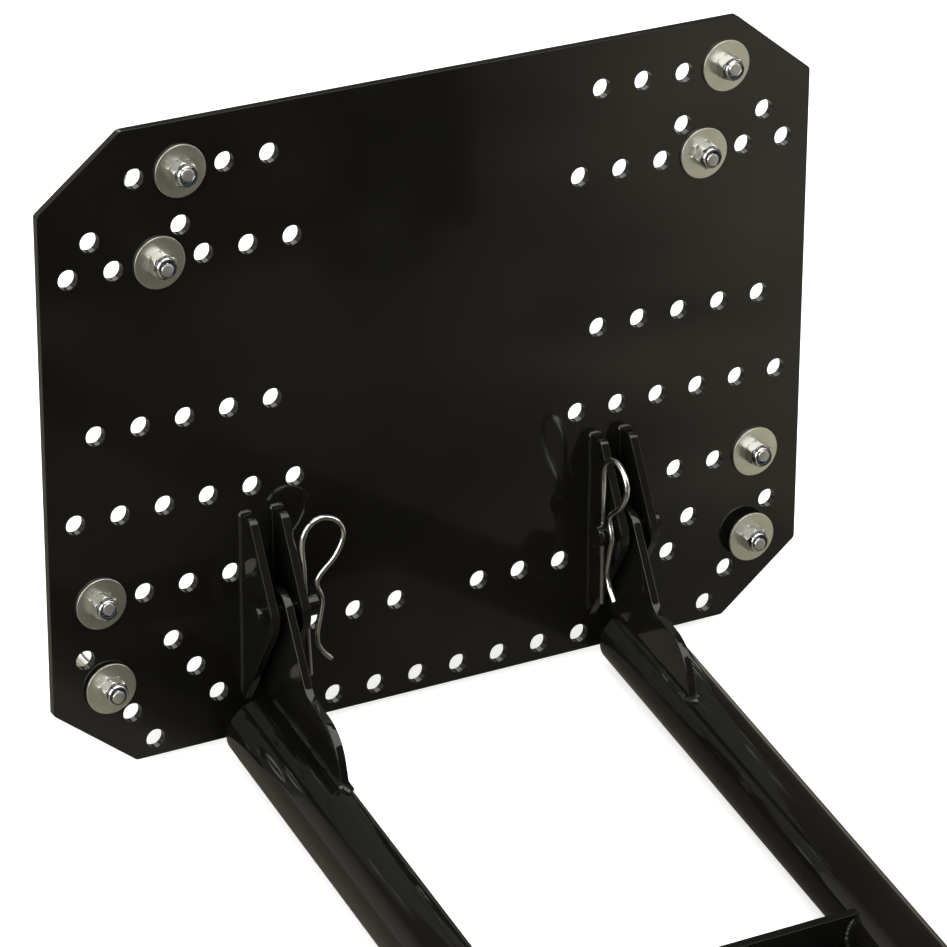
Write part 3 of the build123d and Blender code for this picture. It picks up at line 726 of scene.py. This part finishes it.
def lock_spring():
    lowest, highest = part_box("lock_spring")
    centre = (lowest + highest) / 2
    radius = (highest.x - lowest.x) / 2 - LOCK_WIRE_R
    path = []
    for i in range(int(LOCK_TURNS * LOCK_STEPS) + 1):
        share = i / (LOCK_TURNS * LOCK_STEPS)
        angle = 2 * math.pi * i / LOCK_STEPS
        x, y = radius * math.cos(angle), radius * math.sin(angle)
        z = lowest.z + LOCK_WIRE_R + (highest.z - lowest.z - 2 * LOCK_WIRE_R) * share
        path.append(Vector((centre.x + x, centre.y + y, z)))
    verts, faces = wire(path, LOCK_WIRE_R, 10)
    piece = add_piece("lock_spring_coil", verts, faces, "spring_steel", None, "lock_spring")
    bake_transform(piece)


# ---------------------------------------------------------------- welds

RIPPLE = 1.5 * MM


def bead(path, radius, seed):
    """A weld bead along a path: overlapping ripples of slightly uneven width."""
    route = []
    for a, b in zip(path, path[1:]):
        route += line(a, b, RIPPLE / 4)[:-1]
    route.append(path[-1])
    length = sum((b - a).length for a, b in zip(route, route[1:]))

    def shape(distance, angle):
        phase = (distance / RIPPLE + 0.35 * math.cos(angle)) % 1.0
        end = min(distance, length - distance) / (radius * 1.2)
        drift = noise.noise(Vector((distance * 90, seed * 3.7, angle * 0.5)))
        return min(1.0, 0.45 + 0.55 * max(end, 0)) * (0.9 + 0.13 * phase + 0.14 * drift)

    return wire(route, radius, 10, shape)


def add_welds(name, body, radius, *seams):
    beads = [bead(path, radius * MM, i + len(name)) for i, path in enumerate(seams)]
    add_piece(f"weld_{name}", *joined(beads), "weld_coat", body)


def at(x, y, z):
    """A point in millimetres: across, behind the hinge pins and above the floor."""
    return Vector((x * MM, PIN.y + y * MM, z * MM))


def stitches(start, end, count, share=0.45):
    """Short seams spread evenly along a line."""
    step = (end - start) / count
    edge = (1 - share) / 2
    return [[start + step * (i + edge), start + step * (i + 1 - edge)] for i in range(count)]


def ear_welds():
    """Both long sides of each ear's foot on the plate, and across its top."""
    for side_name, _ in SIDES:
        for which in ("inner", "outer"):
            corners = [ON_PIN.inverted() @ c for c in solids(f"ear_{side_name}_{which}")[0]]
            foot = [c for c in corners if c.y > PIN_OFF_PLATE - 1.5 * MM]
            left, right = min(c.x for c in foot), max(c.x for c in foot)
            low, high = min(c.z for c in foot) + 3 * MM, max(c.z for c in foot)
            path = [(left, low), (left, high), (right, high), (right, low)]
            add_welds(f"ear_{side_name}_{which}", "mount", 2.0,
                      [ON_PIN @ Vector((x, PIN_OFF_PLATE, z)) for x, z in path])


TUBE_X = 115.1                  # millimetres, as at() takes them
TUBE_R = 19.05
TONGUE_X = 106.0
TONGUE_HALF_T = 2.38
TONGUE_TOE_Y = -86.5
TUBE_REAR_Y = -4.8


def tube_top(side, x, y):
    """The point on a push tube's upper surface above x."""
    return at(side * x, y, TUBE_R + math.sqrt(TUBE_R**2 - (x - TUBE_X) ** 2))


def tongue_welds():
    """Down one side of the tongue, round its toe with a blob of weld, and back up the other."""
    inner, outer = TONGUE_X - TONGUE_HALF_T, TONGUE_X + TONGUE_HALF_T
    for name, side in SIDES:
        around = [tube_top(side, inner, TUBE_REAR_Y - 2), tube_top(side, inner, TONGUE_TOE_Y),
                  tube_top(side, TONGUE_X, TONGUE_TOE_Y - 1.5), tube_top(side, outer, TONGUE_TOE_Y),
                  tube_top(side, outer, TUBE_REAR_Y - 2)]
        toe = [tube_top(side, inner - 1, TONGUE_TOE_Y + 5),
               tube_top(side, TONGUE_X, TONGUE_TOE_Y - 2.5),
               tube_top(side, outer + 1.5, TONGUE_TOE_Y + 3)]
        add_welds(f"tongue_{name}", "push_frame", 2.6, around)
        add_welds(f"toe_{name}", "push_frame", 2.7, toe)


ANGLE_LEG = 30.0
ANGLE_T = 4.8
ANGLE_Z = 1.0


def crossmember_welds(name):
    """Where the angle's two legs meet the tubes."""
    back = (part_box(name)[1].y - PIN.y) / MM
    seams = []
    for side in (-1, 1):
        def wall(z):
            return side * (TUBE_X - math.sqrt(TUBE_R**2 - (z - TUBE_R) ** 2))

        heights = [ANGLE_Z + ANGLE_T + 1 + i * 3 for i in range(8)]
        front = back - ANGLE_T
        seams.append([at(wall(z), front, z) for z in heights])
        seams.append([at(wall(z), back, z) for z in heights])
        top = ANGLE_Z + ANGLE_T
        seams.append([at(wall(top), front, top), at(wall(top), back - ANGLE_LEG + 2, top)])
    add_welds(name, "push_frame", 2.3, *seams)


def foot_welds(node, body, radius=2.2):
    """Along the two long sides of a plate's foot, which stands on the node's lowest face."""
    for i, corners in enumerate(solids(node)):
        floor = min(c.z for c in corners)
        foot = [c for c in corners if c.z < floor + 0.1 * MM]
        left, right = min(c.x for c in foot), max(c.x for c in foot)
        front, rear = min(c.y for c in foot), max(c.y for c in foot)
        sides = [[Vector((x, front, floor)), Vector((x, rear, floor))] for x in (left, right)]
        add_welds(f"{node}_{i}", body, radius, *sides)


def box_welds():
    """The swivel head's seams: hinge lugs and stops, lock housing, and beam on its plate."""
    low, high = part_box("swivel_beam")
    plate_low, plate_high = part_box("swivel_plate")
    for name, _ in SIDES:
        corners = solids(f"hinge_bracket_{name}")
        seams = []
        for group in corners:
            face = [c for c in group if abs(c.y - low.y) < 0.3 * MM and c.z < high.z + 30 * MM]
            xs = sorted({round(c.x, 5) for c in face})
            for x in (xs[0], xs[-1]):
                zs = [c.z for c in face if abs(c.x - x) < 1e-4]
                top = min(max(zs), high.z)
                seams.append([Vector((x, low.y, min(zs))), Vector((x, low.y, top))])
        add_welds(f"hinge_bracket_{name}", "swivel_head", 2.4, *seams)
    runs = []
    for y in (low.y, high.y):
        runs += stitches(Vector((plate_low.x, y, low.z)), Vector((plate_high.x, y, low.z)), 7)
    add_welds("swivel_beam", "swivel_head", 2.6, *runs)
    house_low, house_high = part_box("lock_housing")
    centre = (house_low + house_high) / 2
    radius = (house_high.x - house_low.x) / 2
    foot = Vector((centre.x, centre.y, house_low.z))
    ring = arc(foot, ACROSS * radius, Vector((0, radius, 0)), 0, 352, 40)
    add_welds("lock_housing", "swivel_head", 2.0, ring)


CURVE_Y = -1540.0               # millimetres, as at() takes them
CURVE_Z = 110.0
SKIN_BACK_R = 433.0


def on_skin(x, z):
    """The point on the skin's curved back at a height."""
    return at(x, CURVE_Y + math.sqrt(SKIN_BACK_R**2 - (z - CURVE_Z) ** 2), z)


def skin_welds():
    """Stitches down both sides of each rib, tab and gusset on the skin."""
    ribs = [n for n in NODES if n.startswith("rib_")]
    for node in ribs + ["spring_tabs", "skid_bracket_left", "skid_bracket_right"]:
        seams = []
        for corners in solids(node):
            edge = [c for c in corners if (c - on_skin(c.x / MM, c.z / MM)).length < 0.6 * MM]
            if not edge:
                continue
            low, high = min(c.z for c in edge) / MM, max(c.z for c in edge) / MM
            count = max(1, round((high - low) / 70))
            step = (high - low) / count
            for x in (min(c.x for c in edge) / MM, max(c.x for c in edge) / MM):
                for i in range(count):
                    start = low + step * (i + 0.22)
                    seams.append([on_skin(x, start + step * 0.56 * k / 6) for k in range(7)])
        if seams:
            add_welds(node, "blade", 2.2, *seams)


def make_welds():
    ear_welds()
    tongue_welds()
    for name in ("rear_crossmember", "front_crossmember"):
        crossmember_welds(name)
    foot_welds("lift_lug", "push_frame", 3.0)
    foot_welds("spring_post_left", "swivel_head")
    foot_welds("spring_post_right", "swivel_head")
    box_welds()
    skin_welds()


# ---------------------------------------------------------------- studio

def lamp(name, place, aim, width, height, power, colour):
    data = bpy.data.lights.new(name, "AREA")
    data.shape = "RECTANGLE"
    data.size, data.size_y = width, height
    data.energy = power
    data.color = colour
    light = bpy.data.objects.new(name, data)
    look = (Vector(aim) - Vector(place)).to_track_quat("-Z", "Y").to_matrix().to_4x4()
    light.matrix_world = Matrix.Translation(place) @ look
    bpy.context.scene.collection.objects.link(light)


PAINTED_REFLECTION_TONES = (                 # painted reflection: the tones the floor glows in for glossy rays, from the far left to the front right
    (0.08, (0.6, 0.58, 0.47)), (0.17, (0.4, 0.385, 0.3)), (0.25, (0.2, 0.19, 0.145)),
    (0.333, (0.065, 0.062, 0.05)), (0.5, (0.12, 0.114, 0.09)), (0.58, (0.26, 0.25, 0.195)),
    (0.63, (0.5, 0.48, 0.375)), (0.73, (0.75, 0.72, 0.58)), (1.0, (0.5, 0.48, 0.4)),
)
LEFT_REFLECTION_FADE = (-0.15, -0.112)     # metres across; where the painted reflection fades into its even left tone
LEFT_REFLECTION_TONE = -0.27


def floor_paint_and_reflection():
    """Pale paint, and a painted reflection: glossy rays see the floor glow dim instead, lighter far left and at
    the front right.
    """
    glow = {"Emission_Color": (1, 1, 1, 1), "Emission_Strength": 0.52}
    paint = Surface("floor_paint_and_reflection", Roughness=0.85, Specular_IOR_Level=0.1, **glow)
    pale = paint.ramp(paint.noise(1.3), (0.3, (0.86, 0.86, 0.855)), (0.7, (0.89, 0.89, 0.885)))
    paint.feed(pale, "Base Color")
    parts = paint.node("ShaderNodeSeparateXYZ")
    paint.link(paint.place, parts.inputs[0])
    x, y = parts.outputs["X"], parts.outputs["Y"]
    across = paint.maths("ADD", x, paint.maths("MULTIPLY", y, 0.5))
    wavy = paint.maths("ADD", across, paint.spread(paint.noise(3.0, 2.0), -0.08, 0.08))
    # Left of the plate's middle the painted reflection has one tone all over: the one that belongs to the left
    # tone above.
    left = paint.spread(x, 1.0, 0.0, *LEFT_REFLECTION_FADE)
    excess = paint.maths("ADD", wavy, -LEFT_REFLECTION_TONE)
    wavy = paint.maths("SUBTRACT", wavy, paint.maths("MULTIPLY", left, excess))
    paint.painted_reflection_glow(paint.ramp(paint.spread(wavy, 0.0, 1.0, -0.6, 1.2), *PAINTED_REFLECTION_TONES))
    return paint.material


def add_floor():
    size, cells = 30.0, 24
    mesh = bpy.data.meshes.new("floor")
    made = bmesh.new()
    bmesh.ops.create_grid(made, x_segments=cells, y_segments=cells, size=size / 2)
    made.to_mesh(mesh)
    made.free()
    mesh.materials.append(floor_paint_and_reflection())
    floor = bpy.data.objects.new("floor", mesh)
    bpy.context.scene.collection.objects.link(floor)


ROOM_LIGHT_FROM = (-0.62, 0.52, -0.59)
ROOM_TONES = ((0.22, (0.1, 0.095, 0.078)), (0.5, (0.5, 0.48, 0.4)), (0.8, (0.7, 0.68, 0.58)))


def room(tree):
    """The room that shows in gloss: a pale low wall behind on the left, dim elsewhere."""
    lean = tree.nodes.new("ShaderNodeVectorMath")
    lean.operation = "DOT_PRODUCT"
    lean.inputs[1].default_value = ROOM_LIGHT_FROM
    tree.links.new(tree.nodes.new("ShaderNodeTexCoord").outputs["Generated"], lean.inputs[0])
    ramp = tree.nodes.new("ShaderNodeValToRGB")
    ramp.color_ramp.elements.new(0.5)
    for element, (position, colour) in zip(ramp.color_ramp.elements, ROOM_TONES):
        element.position = position
        element.color = (*colour, 1)
    tree.links.new(lean.outputs["Value"], ramp.inputs["Fac"])
    return ramp.outputs["Color"]


def add_world():
    world = bpy.data.worlds.new("studio")
    bpy.context.scene.world = world
    world.use_nodes = True
    tree = world.node_tree
    ray = tree.nodes.new("ShaderNodeLightPath")
    surface = tree.nodes["Background"].outputs[0]
    tree.nodes["Background"].inputs["Color"].default_value = (0.36, 0.35, 0.33, 1)
    for kind, colour in (("Is Glossy Ray", None), ("Is Camera Ray", (1, 1, 1, 1))):
        back = tree.nodes.new("ShaderNodeBackground")
        if colour:
            back.inputs["Color"].default_value = colour
        else:
            tree.links.new(room(tree), back.inputs["Color"])
        mix = tree.nodes.new("ShaderNodeMixShader")
        tree.links.new(ray.outputs[kind], mix.inputs["Fac"])
        tree.links.new(surface, mix.inputs[1])
        tree.links.new(back.outputs[0], mix.inputs[2])
        surface = mix.outputs[0]
    tree.links.new(surface, tree.nodes["World Output"].inputs["Surface"])


def add_studio():
    add_floor()
    add_world()
    lamp("overhead", (0.2, -0.3, 3.0), (0, 0.1, 0), 3.2, 3.2, 100, (1.0, 0.99, 0.97))
    lamp("left", (-2.6, -0.4, 1.5), (0, 0.2, 0.1), 2.8, 2.6, 84, (1.0, 0.99, 0.97))
    lamp("right", (2.6, -0.9, 1.6), (0, 0.2, 0.1), 1.2, 2.2, 26, (1.0, 0.98, 0.94))
    lamp("behind", (0.4, 3.0, 1.6), (0, 0.3, 0.1), 2.4, 1.4, 22, (1.0, 0.99, 0.97))
    view = bpy.context.scene.view_settings
    view.view_transform = "Standard"


# ---------------------------------------------------------------- putting it together

add_camera()
add_studio()
add_studs()
add_nuts()
add_hairpins()
for side_name, _ in SIDES:
    trip_spring(side_name)
lock_spring()
make_welds()
REPLACED = ["plate_nuts", "nut_inserts", "lock_spring"]
REPLACED += [n for n in NODES if n.startswith(("ubolt", "hairpin", "trip_spring"))]
slots = {sub["node"]: sub["material_slot"] for sub in frame["record"]["subparts"]}
for node, slot in slots.items():
    if node not in REPLACED:
        dress(node, "washer_zinc" if node == "plate_washers" else slot)
